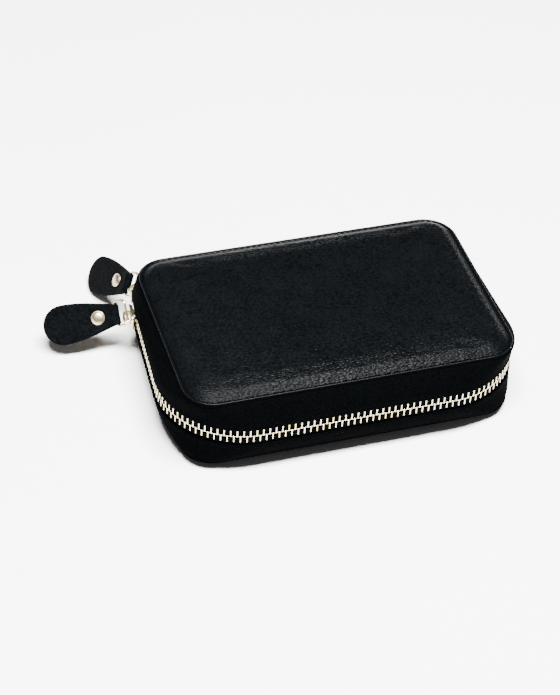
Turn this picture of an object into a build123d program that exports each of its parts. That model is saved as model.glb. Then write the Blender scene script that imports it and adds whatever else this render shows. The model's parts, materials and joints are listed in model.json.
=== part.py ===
"""Zip-around leather fountain pen case, closed, lying on its base.

Millimetres. +Z up, +X along the long side, -Y towards the long front run of the zip, +Y towards
the spine. The origin is the centre of the flat patch that the base rests on. The two halves are
mirror images in the plane of the zip, and the lid turns about the spine.
"""

import os
from math import cos, pi, radians, sin, tan

from build123d import *

os.makedirs("parts", exist_ok=True)

# ---- driving dimensions -------------------------------------------------------------------------
CASE_HEIGHT = 48.0
ZIP_Z = CASE_HEIGHT / 2
ZIP_PLANE = Plane.XY.offset(ZIP_Z)

# cover panels
PANEL_L = 175.0
PANEL_W = 115.0
PANEL_R = 16.0
EDGE_Z = 4.6
SHOULDER_RISE = 3.9
SHOULDER_RUN = 9.0
SHOULDER_KNEE_RISE = 0.35
SHOULDER_KNEE_RUN = 0.3
SKIN = 1.2
BOARD = 1.0
LINING = 0.8

# the wall swells outwards from the panel's edge to the zip
FRONT_Y = -63.3
SPINE_Y = 62.0
SIDE_X = 90.4
SIDE_LEAN = 3.8
LEAN_Y = 38.0
FRONT_R = 43.0
BACK_R = 22.0
WALL = 2.2
WALL_SEAT = 0.8
WALL_TOP = 18.4
WALL_STEPS = 4
SPINE_HALF_L = 70.0
SPINE_WALL = 1.6
SPINE_GAP = 0.3
WELT_H = 0.8
WELT_PROUD = 0.6

# depth of the blocks that cut the wall and the tape open along the spine
CUT_W = 30.0

# zip
TAPE_T = 0.8
TAPE_TOP = 20.6
TOOTH_PITCH = 3.3
TOOTH_L = 1.6
TOOTH_T = 3.0
ROW_GAP = 0.6
ZIP_LEAD = 35.0
ZIP_END_ANGLE = 80.0
LEFT_STOP_ANGLE = 77.0
RIGHT_STOP_ANGLE = 66.0
STOP_L = 2.4
LOWER_ROW_END_ANGLE = 14.0
LID_TAPE_END_ANGLE = 22.0

# sliders
SLIDER_L = 12.0
SLIDER_W = 10.0
PLATE_T = 1.2
PLATE_GAP = 2.0
FLANGE_W = 0.7
FLANGE_TIP = 1.1
WEB_T = 0.5
WEB_L = 2.4
CROWN_W = 2.6
CROWN_OPENING_L = 6.2
CROWN_OPENING_H = 2.6
CROWN_T = 1.1
SLIDER_B_Y = 38.0
SLIDER_A_ANGLE = 48.0
SLIDER_CLEAR = 1.7

# pullers: a wire bail, a folded leather tab and its rivet
WIRE_D = 1.4
BAIL_W = 13.0
BAIL_L = 7.5
BAIL_R = 1.0
BAIL_A_SHIFT = -2.0
BAIL_B_SHIFT = -3.0
TAB_L = 38.6
TAB_NECK_W = 11.0
TAB_END_R = 10.5
TAB_T = 2.8
TAB_PULL = 0.33
TAB_EASE = 0.62
TAB_FLARE = 0.24
FOLD_R = 2.1
FOLD_BORE_R = 0.78
RIVET_AT = 9.5
RIVET_D = 7.4
RIVET_DOME = 1.1
RIVET_POST_D = 3.0
RIVET_BACK_D = 6.4
RIVET_BACK_T = 0.6
PULLER_A_ALONG = Vector(-0.326, 0.846, -0.424)
PULLER_A_FACE = Vector(-0.848, -0.064, 0.526)
PULLER_B_ALONG = Vector(-0.962, 0.169, -0.214)
PULLER_B_FACE = Vector(-0.270, -0.703, 0.658)
BAIL_A_LEAN = 0.0
BAIL_B_LEAN = -36.0

# inside
PENS = 6
PEN_PITCH = 17.0
CHANNEL_W = 14.6
CHANNEL_H = 13.6
ELASTIC_T = 1.0
LOOPS_X = 38.0
LOOPS_L = 22.0
POCKET_X0 = -74.0
POCKET_X1 = -40.0
PAGE_HALF_L = 78.0
PAGE_FRONT_Y = -55.0
PAGE_BACK_Y = 59.6
PAGE_R = 20.0
PAGE_T = 1.2
BINDING_W = 4.0
BINDING_T = 2.0

# ---- derived places -----------------------------------------------------------------------------
FLOOR_Z = EDGE_Z + LINING
WELT_TOP = EDGE_Z + WELT_H
FRONT_HALF = SIDE_X + (LEAN_Y - FRONT_Y) * tan(radians(SIDE_LEAN))
BACK_HALF = SIDE_X + (LEAN_Y - SPINE_Y) * tan(radians(SIDE_LEAN))
TOOTH_TOP = ZIP_Z - ROW_GAP
WALL_LEVELS = [WELT_TOP + (WALL_TOP - WELT_TOP) * k / WALL_STEPS for k in range(WALL_STEPS + 1)]


def bulge_at(z):
    """How far the wall has swelled at height z: 0 at the panel's edge, 1 from WALL_TOP up."""
    return sin(pi / 2 * min(1.0, max(0.0, (z - EDGE_Z) / (WALL_TOP - EDGE_Z))))


def case_plan(z, bulge, inset=0.0):
    """Plan of the case at height z, between the panel's outline and the zip's."""
    front = PANEL_L / 2 + (FRONT_HALF - PANEL_L / 2) * bulge
    back = PANEL_L / 2 + (BACK_HALF - PANEL_L / 2) * bulge
    y0 = -PANEL_W / 2 + (FRONT_Y + PANEL_W / 2) * bulge
    y1 = PANEL_W / 2 + (SPINE_Y - PANEL_W / 2) * bulge
    with BuildSketch(Plane.XY.offset(z)) as plan:
        Polygon((-front, y0), (front, y0), (back, y1), (-back, y1), align=None)
        fillet(plan.vertices().group_by(Axis.Y)[0], PANEL_R + (FRONT_R - PANEL_R) * bulge)
        fillet(plan.vertices().group_by(Axis.Y)[-1], PANEL_R + (BACK_R - PANEL_R) * bulge)
        if inset:
            offset(amount=-inset)
    return plan.sketch


def wall_ring(levels, outer, inner):
    """A closed wall that follows the case's sides through the given levels."""
    with BuildPart() as ring:
        loft(sections=[case_plan(z, bulge_at(z), outer) for z in levels], ruled=True)
        loft(
            sections=[case_plan(z, bulge_at(z), inner) for z in levels],
            ruled=True,
            mode=Mode.SUBTRACT,
        )
    return ring.part


def dome_block(inset, bottom, top):
    """The panel's block, crowned below: a flat patch, a sloping shoulder and an upright rim."""
    rim = bottom + SHOULDER_RISE * (EDGE_Z - bottom) / EDGE_Z
    knee = bottom + SHOULDER_KNEE_RISE * (rim - bottom)
    with BuildPart() as block:
        loft(
            sections=[
                case_plan(bottom, 0.0, inset + SHOULDER_RUN),
                case_plan(knee, 0.0, inset + SHOULDER_KNEE_RUN * SHOULDER_RUN),
                case_plan(rim, 0.0, inset),
                case_plan(top, 0.0, inset),
            ],
            ruled=True,
        )
    return block.part


def save(piece, name):
    """Label a finished piece and write it."""
    piece.label = name
    export_step(piece, f"parts/{name}.step")


# ---- the zip's line, from its left end round the front to its right end -------------------------
LEAN = radians(SIDE_LEAN)
ARC_Y = SPINE_Y - BACK_R
ARC_CENTRE = Vector(BACK_R / cos(LEAN) - SIDE_X + (ARC_Y - LEAN_Y) * tan(LEAN), ARC_Y)
ARC_START = ARC_CENTRE + Vector(-BACK_R * cos(LEAN), BACK_R * sin(LEAN))

with BuildLine() as zip_line:
    FilletPolyline(
        (-ZIP_LEAD, SPINE_Y),
        (-BACK_HALF, SPINE_Y),
        (-FRONT_HALF, FRONT_Y),
        (FRONT_HALF, FRONT_Y),
        (BACK_HALF, SPINE_Y),
        (ZIP_LEAD, SPINE_Y),
        radius=[BACK_R, FRONT_R, FRONT_R, BACK_R],
    )
ZIP_WIRE = zip_line.wire()
ZIP_ROUND = ZIP_WIRE.length


def at_angle(degrees):
    """Distance along the zip's line of a point on the back left arc, 90 at the spine."""
    return BACK_R * radians(90 - degrees) - ARC_CENTRE.X - ZIP_LEAD


ZIP_START = at_angle(ZIP_END_ANGLE)
SLIDER_A_AT = at_angle(SLIDER_A_ANGLE)
SLIDER_B_AT = at_angle(SIDE_LEAN) + (ARC_START.Y - SLIDER_B_Y) / cos(LEAN)


def on_zip(at, z=ZIP_Z):
    """Frame on the zip's line: x along the zip towards its left end, z outwards."""
    place = ZIP_WIRE.position_at(at / ZIP_ROUND)
    along = ZIP_WIRE.tangent_at(at / ZIP_ROUND) * -1
    outward = Vector(-along.Y, along.X, 0)
    return Plane(origin=(place.X, place.Y, z), x_dir=along, z_dir=outward)


# ---- base half ----------------------------------------------------------------------------------
with BuildPart() as cover:
    add(dome_block(0.0, 0.0, EDGE_Z))
    add(dome_block(SKIN, SKIN, EDGE_Z), mode=Mode.SUBTRACT)

with BuildPart() as padding:
    add(dome_block(SKIN, SKIN, EDGE_Z))
    with BuildSketch(Plane.XY.offset(EDGE_Z - BOARD)):
        Rectangle(PANEL_L, PANEL_W)
    extrude(amount=BOARD, mode=Mode.SUBTRACT)

with BuildPart() as board:
    add(dome_block(SKIN, SKIN, EDGE_Z))
    with BuildSketch(Plane.XY.offset(EDGE_Z - BOARD)):
        Rectangle(PANEL_L, PANEL_W)
    extrude(amount=-EDGE_Z, mode=Mode.SUBTRACT)

with BuildPart() as lining:
    add(case_plan(EDGE_Z, 0.0, WALL))
    extrude(amount=LINING)

with BuildPart() as welt:
    add(case_plan(EDGE_Z, 0.0, -WELT_PROUD))
    extrude(amount=WELT_H)
    extrude(case_plan(EDGE_Z, 0.0, WALL), amount=WELT_H, mode=Mode.SUBTRACT)

SPINE_CUT = Pos(0, SPINE_Y, ZIP_Z / 2) * Box(2 * SPINE_HALF_L, CUT_W, 2 * ZIP_Z)
BEHIND_SPINE = Pos(0, SPINE_Y + CUT_W / 2, ZIP_Z / 2) * Box(2 * BACK_HALF, CUT_W, 2 * ZIP_Z)

with BuildPart() as gusset:
    add(wall_ring(WALL_LEVELS, -WALL_SEAT, WALL - WALL_SEAT))
    add(SPINE_CUT, mode=Mode.SUBTRACT)
    add(BEHIND_SPINE, mode=Mode.SUBTRACT)

with BuildPart() as spine:
    add(wall_ring(WALL_LEVELS + [ZIP_Z - SPINE_GAP], 0.0, SPINE_WALL))
    add(SPINE_CUT, mode=Mode.INTERSECT)

with BuildPart() as zip_band:
    add(case_plan(WALL_TOP, 1.0, -TAPE_T / 2))
    extrude(amount=TAPE_TOP - WALL_TOP)
    extrude(case_plan(WALL_TOP, 1.0, TAPE_T / 2), amount=TAPE_TOP - WALL_TOP, mode=Mode.SUBTRACT)

TAPE_END_X = on_zip(ZIP_START).origin.X
with BuildPart() as zip_tape:
    add(zip_band.part)
    with Locations((0, SPINE_Y, ZIP_Z)):
        Box(-2 * TAPE_END_X, CUT_W, 2 * ZIP_Z, mode=Mode.SUBTRACT)


def channel_row(x0, x1, closed_end):
    """Six open channels side by side, as sewn elastic or a pocket makes them."""
    row_w = (PENS - 1) * PEN_PITCH + CHANNEL_W + 2 * ELASTIC_T
    with BuildPart() as row:
        with BuildSketch(Plane.YZ.offset(x0)):
            with Locations((0, FLOOR_Z)):
                Rectangle(row_w, CHANNEL_H + ELASTIC_T, align=(Align.CENTER, Align.MIN))
        extrude(amount=x1 - x0)
        with BuildSketch(Plane.YZ.offset(x0 + (ELASTIC_T if closed_end else 0.0))):
            with Locations((0, FLOOR_Z + CHANNEL_H / 2)):
                with GridLocations(PEN_PITCH, 1, PENS, 1):
                    Rectangle(CHANNEL_W, CHANNEL_H)
        extrude(amount=x1 - x0, mode=Mode.SUBTRACT)
    return row.part


with BuildPart() as pen_loops:
    add(channel_row(LOOPS_X - LOOPS_L / 2, LOOPS_X + LOOPS_L / 2, False))

with BuildPart() as nib_pocket:
    add(channel_row(POCKET_X0, POCKET_X1, True))

HALF = {
    "cover": cover.part,
    "padding": padding.part,
    "board": board.part,
    "lining": lining.part,
    "welt": welt.part,
    "gusset": gusset.part,
    "spine": spine.part,
    "pen_loops": pen_loops.part,
    "nib_pocket": nib_pocket.part,
}
for name, piece in HALF.items():
    save(piece, f"base_{name}")
    with BuildPart() as twin:
        mirror(piece, about=ZIP_PLANE)
    save(twin.part, f"lid_{name}")

# ---- tapes, teeth and stops ---------------------------------------------------------------------
save(zip_tape.part, "base_zip_tape")

TAPE_NOTCH_Y = ARC_CENTRE.Y + BACK_R * sin(radians(LID_TAPE_END_ANGLE))
with BuildPart() as lid_zip_tape:
    mirror(zip_tape.part, about=ZIP_PLANE)
    behind_notch = (Align.MAX, Align.MIN, Align.CENTER)
    with Locations((0, TAPE_NOTCH_Y, ZIP_Z)):
        Box(FRONT_HALF, CUT_W, 2 * ZIP_Z, align=behind_notch, mode=Mode.SUBTRACT)
save(lid_zip_tape.part, "lid_zip_tape")


def tooth_row(first, last, from_z, to_z):
    """Separate teeth at the zip's pitch, standing on the tape's edge."""
    count = int((last - first) / TOOTH_PITCH) + 1
    frames = [on_zip(first + k * TOOTH_PITCH, (from_z + to_z) / 2) for k in range(count)]
    with BuildPart() as row:
        with Locations(*[frame.location for frame in frames]):
            Box(TOOTH_L, to_z - from_z, TOOTH_T)
    return row.part


RIGHT_END = ZIP_ROUND - at_angle(RIGHT_STOP_ANGLE)
LAST_TOOTH = RIGHT_END - STOP_L
LOWER_FIRST = at_angle(LOWER_ROW_END_ANGLE)
UPPER_FIRST = SLIDER_B_AT + SLIDER_L / 2 + SLIDER_CLEAR
UPPER_STEPS = int((UPPER_FIRST - LOWER_FIRST) / TOOTH_PITCH) + 1.5
UPPER_ROW_Z = (2 * ZIP_Z - TOOTH_TOP, 2 * ZIP_Z - TAPE_TOP)
save(tooth_row(LOWER_FIRST, LAST_TOOTH, TAPE_TOP, TOOTH_TOP), "base_zip_teeth")
save(
    tooth_row(LOWER_FIRST + UPPER_STEPS * TOOTH_PITCH, LAST_TOOTH, *UPPER_ROW_Z),
    "lid_zip_teeth",
)

with BuildPart() as base_zip_stops:
    for at in (at_angle(LEFT_STOP_ANGLE), RIGHT_END):
        with Locations(on_zip(at, (TAPE_TOP + TOOTH_TOP) / 2).location):
            Box(STOP_L, TOOTH_TOP - TAPE_TOP, TOOTH_T - WEB_T)
save(base_zip_stops.part, "base_zip_stops")

with BuildPart() as lid_zip_stop:
    with Locations(on_zip(RIGHT_END, sum(UPPER_ROW_Z) / 2).location):
        Box(STOP_L, TOOTH_TOP - TAPE_TOP, TOOTH_T - WEB_T)
save(lid_zip_stop.part, "lid_zip_stop")


# ---- divider page between the halves ------------------------------------------------------------
def page_plan(inset):
    """Plan of the page; its back edge stays on the hinge side."""
    with BuildSketch(ZIP_PLANE) as plan:
        with Locations((0, (PAGE_FRONT_Y + PAGE_BACK_Y) / 2)):
            RectangleRounded(2 * PAGE_HALF_L, PAGE_BACK_Y - PAGE_FRONT_Y, PAGE_R)
        if inset:
            offset(amount=-inset)
    return plan.sketch


with BuildPart() as divider_page:
    extrude(page_plan(BINDING_W), amount=PAGE_T / 2, both=True)
save(divider_page.part, "divider_page")

with BuildPart() as divider_binding:
    extrude(page_plan(0.0), amount=BINDING_T / 2, both=True)
    extrude(page_plan(BINDING_W), amount=BINDING_T / 2, both=True, mode=Mode.SUBTRACT)
save(divider_binding.part, "divider_binding")


# ---- sliders and pullers ------------------------------------------------------------------------
def slider_body(frame, wide_end):
    """Two plates joined by a web at the wide end, with flanges and a crown outside."""
    with BuildPart(frame) as body:
        with Locations((0, 0, PLATE_GAP + PLATE_T / 2), (0, 0, -PLATE_GAP - PLATE_T / 2)):
            Box(SLIDER_L, SLIDER_W, PLATE_T)
        fillet(body.edges().filter_by(lambda e: abs(e.length - PLATE_T) < 1e-6), PLATE_T)
        with Locations((wide_end * (SLIDER_L / 2 - PLATE_T - WEB_L / 2), 0, 0)):
            Box(WEB_L, WEB_T, 2 * PLATE_GAP)
        flange_h = PLATE_GAP - FLANGE_TIP
        flange_y = (SLIDER_W - FLANGE_W) / 2
        with Locations((0, flange_y, FLANGE_TIP), (0, -flange_y, FLANGE_TIP)):
            Box(SLIDER_L - 2 * PLATE_T, FLANGE_W, flange_h, align=(Align.CENTER, Align.CENTER, Align.MIN))
        crown_h = CROWN_OPENING_H + CROWN_T
        base = (Align.CENTER, Align.CENTER, Align.MIN)
        with Locations((0, 0, PLATE_GAP + PLATE_T)):
            Box(CROWN_OPENING_L + 2 * CROWN_T, CROWN_W, crown_h, align=base)
            Box(CROWN_OPENING_L, CROWN_W, CROWN_OPENING_H, align=base, mode=Mode.SUBTRACT)
    return body.part


def wire_bail(frame):
    """Rectangular wire loop; frame is on its inner bar, x towards the leather, y along the bar."""
    half = BAIL_W / 2
    with BuildPart() as loop:
        with BuildLine(frame) as path:
            corners = [(0, -half), (BAIL_L, -half), (BAIL_L, half), (0, half)]
            FilletPolyline(*corners, radius=BAIL_R, close=True)
        start = Plane(origin=path.wire() @ 0, z_dir=path.wire() % 0)
        with BuildSketch(start):
            Circle(WIRE_D / 2)
        sweep(path=path.wire())
    return loop.part


def leather_tab(frame):
    """Drop-shaped tab folded over the bail's outer bar; x runs to its round end, z is its face."""
    neck = TAB_NECK_W / 2
    swell_x = TAB_L - TAB_END_R
    pull_x, ease_x = TAB_PULL * swell_x, TAB_EASE * swell_x
    pull_y = neck + TAB_FLARE * pull_x
    with BuildPart() as tab:
        with BuildSketch(frame.offset(-TAB_T / 2)):
            with BuildLine():
                Bezier((0, neck), (pull_x, pull_y), (ease_x, TAB_END_R), (swell_x, TAB_END_R))
                ThreePointArc((swell_x, TAB_END_R), (TAB_L, 0), (swell_x, -TAB_END_R))
                Bezier((swell_x, -TAB_END_R), (ease_x, -TAB_END_R), (pull_x, -pull_y), (0, -neck))
                Line((0, -neck), (0, neck))
            make_face()
        extrude(amount=TAB_T)
        with Locations(frame.location * Rot(90, 0, 0)):
            Cylinder(FOLD_R, TAB_NECK_W)
            Cylinder(FOLD_BORE_R, 2 * TAB_NECK_W, mode=Mode.SUBTRACT)
        with Locations(frame.location * Pos(RIVET_AT, 0, 0)):
            Cylinder(RIVET_POST_D / 2, 2 * TAB_T, mode=Mode.SUBTRACT)
    return tab.part


def tab_rivet(frame):
    """Domed rivet through both layers of the tab, with a flat cap behind."""
    with BuildPart() as rivet:
        with BuildSketch(frame.offset(-TAB_T / 2)):
            with Locations((RIVET_AT, 0)):
                Circle(RIVET_POST_D / 2)
        extrude(amount=TAB_T)
        with BuildSketch(frame.offset(TAB_T / 2)):
            with Locations((RIVET_AT, 0)):
                Circle(RIVET_D / 2)
        extrude(amount=RIVET_DOME)
        fillet(rivet.faces().sort_by(Axis(frame.origin, frame.z_dir))[-1].edges(), 0.8 * RIVET_DOME)
        with BuildSketch(frame.offset(-TAB_T / 2)):
            with Locations((RIVET_AT, 0)):
                Circle(RIVET_BACK_D / 2)
        extrude(amount=-RIVET_BACK_T)
    return rivet.part


SLIDERS = {
    "a": (SLIDER_A_AT, -1, PULLER_A_ALONG, PULLER_A_FACE, BAIL_A_LEAN, BAIL_A_SHIFT),
    "b": (SLIDER_B_AT, 1, PULLER_B_ALONG, PULLER_B_FACE, BAIL_B_LEAN, BAIL_B_SHIFT),
}
for key, (at, wide_end, along, face, lean, shift) in SLIDERS.items():
    slider_frame = on_zip(at)
    save(slider_body(slider_frame, wide_end), f"slider_{key}_body")

    tab_frame = Plane(origin=(0, 0, 0), x_dir=along, z_dir=face - along * along.dot(face))
    bar = tab_frame.y_dir
    bail_along = tab_frame.x_dir.rotate(Axis((0, 0, 0), bar), -lean)
    bar_height = PLATE_GAP + PLATE_T + CROWN_OPENING_H / 2
    bail_origin = slider_frame.from_local_coords(Vector(0, 0, bar_height)) + bar * shift
    bail_frame = Plane(origin=bail_origin, x_dir=bail_along, z_dir=bail_along.cross(bar))
    save(wire_bail(bail_frame), f"slider_{key}_bail")

    tab_origin = bail_origin + bail_along * BAIL_L
    placed = Plane(origin=tab_origin, x_dir=tab_frame.x_dir, z_dir=tab_frame.z_dir)
    save(leather_tab(placed), f"slider_{key}_tab")
    save(tab_rivet(placed), f"slider_{key}_rivet")
    print(key, "slider", slider_frame.origin, "bar", bar, "bail", bail_origin, "tab", tab_origin)

print("arc centre", ARC_CENTRE, "side direction", on_zip(SLIDER_B_AT).x_dir)
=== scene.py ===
"""The looks of a zip-around leather fountain pen case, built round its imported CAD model.

Lengths inside this script are millimetres, in the CAD model's frame, and become metres when a mesh
is made. Numpy arrays of points are (n, 3). "Outward" is away from the case, "along" is along the zip.
"""

import json
import math

import bmesh
import bpy
import numpy as np
from mathutils import Matrix, Vector


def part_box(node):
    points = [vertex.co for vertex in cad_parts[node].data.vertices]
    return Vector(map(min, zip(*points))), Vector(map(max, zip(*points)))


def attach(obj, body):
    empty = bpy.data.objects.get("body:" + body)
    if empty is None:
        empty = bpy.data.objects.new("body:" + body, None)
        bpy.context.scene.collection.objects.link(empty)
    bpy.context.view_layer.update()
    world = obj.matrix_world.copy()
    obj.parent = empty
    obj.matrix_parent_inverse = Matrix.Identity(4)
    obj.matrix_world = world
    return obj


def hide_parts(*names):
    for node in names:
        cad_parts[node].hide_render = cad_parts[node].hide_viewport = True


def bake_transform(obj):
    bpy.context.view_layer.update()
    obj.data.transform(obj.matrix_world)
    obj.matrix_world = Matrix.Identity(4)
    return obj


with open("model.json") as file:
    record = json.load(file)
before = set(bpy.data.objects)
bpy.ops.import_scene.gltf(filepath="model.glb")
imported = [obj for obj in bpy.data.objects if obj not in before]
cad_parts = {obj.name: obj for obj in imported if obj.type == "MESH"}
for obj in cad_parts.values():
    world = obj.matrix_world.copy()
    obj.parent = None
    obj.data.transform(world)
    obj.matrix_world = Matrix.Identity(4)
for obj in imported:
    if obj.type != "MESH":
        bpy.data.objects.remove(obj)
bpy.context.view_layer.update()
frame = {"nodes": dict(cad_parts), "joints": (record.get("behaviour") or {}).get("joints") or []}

MM = 0.001
SEED = 7


def node_box(node):
    """A CAD node's lowest and highest corners in millimetres."""
    lo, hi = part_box(node)
    return np.array(lo) / MM, np.array(hi) / MM


# ---- camera ----
CAM_AZIMUTH = math.radians(21.0)
CAM_ELEVATION = math.radians(41.17)
CAM_ROLL = math.radians(4.77)
CAM_DISTANCE = 1114.0
CAM_AIM = (0.0, 0.0, 29.5)
CAM_LENS = 110.7
CAM_SHIFT = (-0.0614, -0.0279)


def make_camera():
    """The camera: above the front left, a little rolled."""
    data = bpy.data.cameras.new("camera")
    camera = bpy.data.objects.new("camera", data)
    bpy.context.collection.objects.link(camera)
    flat = math.cos(CAM_ELEVATION)
    back = Vector((-math.sin(CAM_AZIMUTH) * flat, -math.cos(CAM_AZIMUTH) * flat, math.sin(CAM_ELEVATION)))
    level = Vector((math.cos(CAM_AZIMUTH), -math.sin(CAM_AZIMUTH), 0))
    upright = back.cross(level)
    right = level * math.cos(CAM_ROLL) + upright * math.sin(CAM_ROLL)
    up = upright * math.cos(CAM_ROLL) - level * math.sin(CAM_ROLL)
    place = Matrix((right, up, back)).transposed().to_4x4()
    place.translation = (Vector(CAM_AIM) + back * CAM_DISTANCE) * MM
    camera.matrix_world = place
    data.sensor_width = 36.0
    data.lens = CAM_LENS
    data.shift_x, data.shift_y = CAM_SHIFT
    data.clip_start, data.clip_end = 0.01, 20.0
    data.dof.use_dof = False
    bpy.context.scene.camera = camera


make_camera()

# ---- the case's dimensions, from the frame ----
PANEL_HI = node_box("base_cover")[1]
HALF_L, HALF_W = PANEL_HI[0], PANEL_HI[1]
EDGE_Z = PANEL_HI[2]
CASE_H = node_box("lid_cover")[1][2]
ZIP_Z = CASE_H / 2
TAPE_T = 0.8
FRONT_Y = node_box("base_zip_tape")[0][1] + TAPE_T / 2
SPINE_Y = node_box("base_spine")[1][1]
SPINE_HALF_L = node_box("base_spine")[1][0]
WALL_TOP = node_box("base_gusset")[1][2]
FLOOR_Z = node_box("base_lining")[1][2]
PANEL_R = 16.0
FRONT_R = 43.0
BACK_R = 22.0
SIDE_LEAN = math.radians(3.8)
SLIDER_B_Y = 38.0
SIDE_X = 90.4
SLIDER_A_ANGLE = 48.0
BACK_HALF = SIDE_X + (SLIDER_B_Y - SPINE_Y) * math.tan(SIDE_LEAN)
FRONT_HALF = SIDE_X + (SLIDER_B_Y - FRONT_Y) * math.tan(SIDE_LEAN)
ARC_X = SIDE_X - (SPINE_Y - BACK_R - SLIDER_B_Y) * math.tan(SIDE_LEAN) - BACK_R / math.cos(SIDE_LEAN)

SIDE_STEPS = (72, 44, 72, 44)
CORNER_STEPS = 16


def mix(a, b, t):
    return a + (b - a) * t


def ease(t):
    """0 to 1 with level ends."""
    t = np.clip(t, 0.0, 1.0)
    return t * t * (3 - 2 * t)


def bulge_at(z):
    """How far the wall has swelled at height z above the base's rest face, up to the zip."""
    return math.sin(math.pi / 2 * min(1.0, max(0.0, (z - EDGE_Z) / (WALL_TOP - EDGE_Z))))


def case_outline(bulge, inset=0.0, fine=1):
    """Closed plan outline, anticlockwise from the front left: points (n, 2) and outward normals."""
    x0, x1 = mix(HALF_L, FRONT_HALF, bulge), mix(HALF_L, BACK_HALF, bulge)
    y0, y1 = mix(-HALF_W, FRONT_Y, bulge), mix(HALF_W, SPINE_Y, bulge)
    r0, r1 = mix(PANEL_R, FRONT_R, bulge), mix(PANEL_R, BACK_R, bulge)
    lean = math.atan2(x0 - x1, y1 - y0)
    cx0 = x0 - (r0 * math.tan(lean) + r0 / math.cos(lean))
    cx1 = x1 + r1 * math.tan(lean) - r1 / math.cos(lean)
    turn = math.pi / 2
    corners = [
        (cx0, y0 + r0, r0, -turn, lean),
        (cx1, y1 - r1, r1, lean, turn),
        (-cx1, y1 - r1, r1, turn, 2 * turn - lean),
        (-cx0, y0 + r0, r0, 2 * turn - lean, 3 * turn),
    ]
    points, normals = [], []
    for k, (cx, cy, r, a0, a1) in enumerate(corners):
        before = corners[k - 1]
        n = np.array([math.cos(a0), math.sin(a0)])
        start = np.array(before[:2]) + before[2] * n
        end = np.array([cx, cy]) + r * n
        for t in np.arange(1, SIDE_STEPS[k] * fine) / (SIDE_STEPS[k] * fine):
            points.append(mix(start, end, t) - inset * n)
            normals.append(n)
        for a in np.linspace(a0, a1, CORNER_STEPS * fine + 1):
            n = np.array([math.cos(a), math.sin(a)])
            points.append(np.array([cx, cy]) + (r - inset) * n)
            normals.append(n)
    return np.array(points), np.array(normals)


def ring_at(bulge, inset, z):
    """A closed outline at one height, as (n, 3)."""
    flat, _ = case_outline(bulge, inset)
    return np.column_stack([flat, np.full(len(flat), z)])


# ---- the zip's line ----
def _zip_line():
    """Fine points and outward normals round the zip from the middle of the spine, left end first."""
    flat, normals = case_outline(1.0, 0.0, fine=8)
    first = int(np.argmin(np.hypot(flat[:, 0], flat[:, 1] - SPINE_Y)))
    flat, normals = np.roll(flat, -first, axis=0), np.roll(normals, -first, axis=0)
    flat, normals = np.vstack([flat, flat[:1]]), np.vstack([normals, normals[:1]])
    steps = np.hypot(*np.diff(flat, axis=0).T)
    return flat, normals, np.concatenate([[0.0], np.cumsum(steps)])


LINE_POINTS, LINE_NORMALS, LINE_AT = _zip_line()
LINE_LENGTH = LINE_AT[-1]


def on_zip(at):
    """Point (2,) and outward normal (2,) at a distance along the zip's line from mid-spine."""
    point = [np.interp(at, LINE_AT, LINE_POINTS[:, k]) for k in (0, 1)]
    normal = np.array([np.interp(at, LINE_AT, LINE_NORMALS[:, k]) for k in (0, 1)])
    return np.array(point), normal / np.hypot(*normal)


def at_angle(degrees):
    """Distance along the zip's line of a point on the back left arc; 90 is at the spine."""
    return BACK_R * math.radians(90 - degrees) + ARC_X


def zip_frame(at, z=ZIP_Z):
    """4x4 with x along the zip towards its left end, y downwards and z outwards, at height z."""
    point, normal = on_zip(at)
    along = Vector((normal[1], -normal[0], 0))
    outward = Vector((normal[0], normal[1], 0))
    place = Matrix((along, outward.cross(along), outward)).transposed().to_4x4()
    place.translation = (point[0], point[1], z)
    return place


ARC_START_Y = SPINE_Y - BACK_R + BACK_R * math.sin(SIDE_LEAN)
SLIDER_A_AT = at_angle(SLIDER_A_ANGLE)
SLIDER_B_AT = at_angle(math.degrees(SIDE_LEAN)) + (ARC_START_Y - SLIDER_B_Y) / math.cos(SIDE_LEAN)
TAPE_ENDS_AT = 80.0
ZIP_LEFT = at_angle(TAPE_ENDS_AT)
ZIP_RIGHT = LINE_LENGTH - ZIP_LEFT


# ---- mesh building ----
def make_object(name, points, faces, smooth=True):
    """An object at the origin from millimetre points."""
    mesh = bpy.data.meshes.new(name)
    mesh.from_pydata((np.asarray(points, float) * MM).tolist(), [], [list(map(int, f)) for f in faces])
    mesh.validate()
    mesh.update()
    piece = bpy.data.objects.new(name, mesh)
    bpy.context.collection.objects.link(piece)
    if smooth:
        mesh.polygons.foreach_set("use_smooth", [True] * len(mesh.polygons))
    return piece


def skin_faces(rings, count, wrap=True, loop=False):
    """Quads between consecutive rings of count points; wrap closes each ring, loop the set."""
    faces = []
    for r in range(rings if loop else rings - 1):
        a, b = r * count, ((r + 1) % rings) * count
        for k in range(count if wrap else count - 1):
            m = (k + 1) % count
            faces.append((a + k, a + m, b + m, b + k))
    return faces


def cap_faces(rings, count):
    """The two faces that close the first and last rings."""
    return [tuple(range(count))[::-1], tuple((rings - 1) * count + k for k in range(count))]


def solid(rings):
    """Points and faces of a form through rings of equal length, closed at both ends."""
    count = len(rings[0])
    return np.vstack(rings), skin_faces(len(rings), count) + cap_faces(len(rings), count)


def skin(name, rings, loop=False):
    """An object through rings of equal length: a loop of them, or closed at both ends."""
    if loop:
        return make_object(name, np.vstack(rings), skin_faces(len(rings), len(rings[0]), loop=True))
    return make_object(name, *solid(rings))


def join_meshes(name, parts):
    """One object from many (points, faces) pairs."""
    points, faces, offset = [], [], 0
    for part_points, part_faces in parts:
        points.append(part_points)
        faces += [tuple(i + offset for i in face) for face in part_faces]
        offset += len(part_points)
    return make_object(name, np.vstack(points), faces)


def fix_normals(piece):
    """Makes a closed piece's faces point outwards."""
    bm = bmesh.new()
    bm.from_mesh(piece.data)
    bmesh.ops.recalc_face_normals(bm, faces=bm.faces)
    bm.to_mesh(piece.data)
    bm.free()
    return piece


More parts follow.
